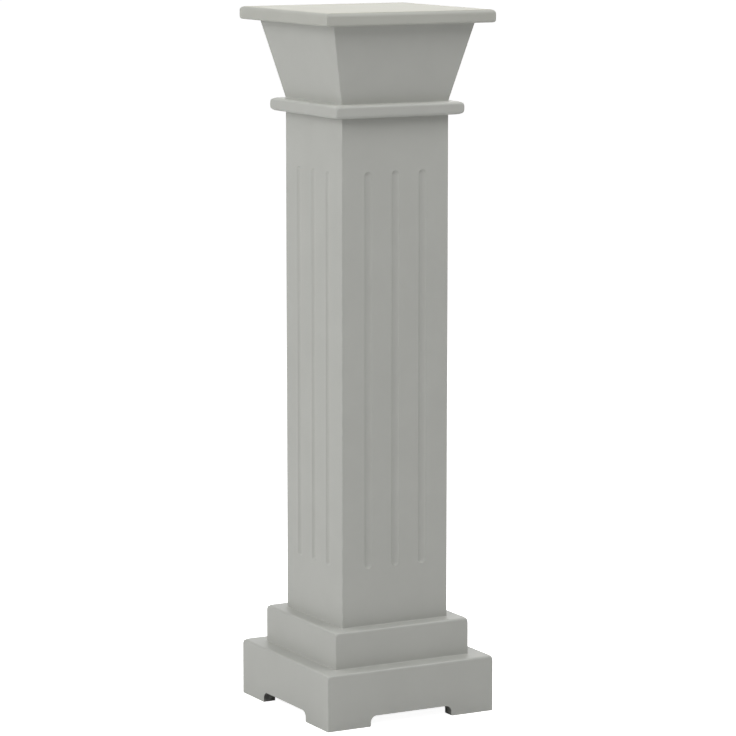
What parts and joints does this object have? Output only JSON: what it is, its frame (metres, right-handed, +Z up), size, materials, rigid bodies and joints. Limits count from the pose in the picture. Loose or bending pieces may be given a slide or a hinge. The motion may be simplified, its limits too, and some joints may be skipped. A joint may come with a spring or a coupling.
{
  "type": "column plant stand",
  "caption": "Square pillar plant stand of painted board: flat top, flared capital, round-edged neck board, fluted hollow shaft and a stepped plinth on bracket feet.",
  "frame": {"origin": "on the floor, in the middle of the square plinth", "axes": "+Z up along the shaft; the front faces -Y and the wall side +Y, all four sides being alike"},
  "size_m": [0.176, 0.176, 0.66],
  "materials": {
    "painted_board": "light warm grey satin paint, sprayed over medium-density fibreboard; dark unpainted board inside the plinth and in the reveals of its cut-outs"
  },
  "bodies": {
    "root": {"lower_plinth_front": "painted_board", "lower_plinth_right": "painted_board", "lower_plinth_back": "painted_board", "lower_plinth_left": "painted_board", "lower_plinth_cover": "painted_board", "upper_plinth_front": "painted_board", "upper_plinth_right": "painted_board", "upper_plinth_back": "painted_board", "upper_plinth_left": "painted_board", "upper_plinth_cover": "painted_board", "shaft_front": "painted_board", "shaft_right": "painted_board", "shaft_back": "painted_board", "shaft_left": "painted_board", "neck_board": "painted_board", "capital_front": "painted_board", "capital_right": "painted_board", "capital_back": "painted_board", "capital_left": "painted_board", "top_board": "painted_board"}
  },
  "joints": []
}
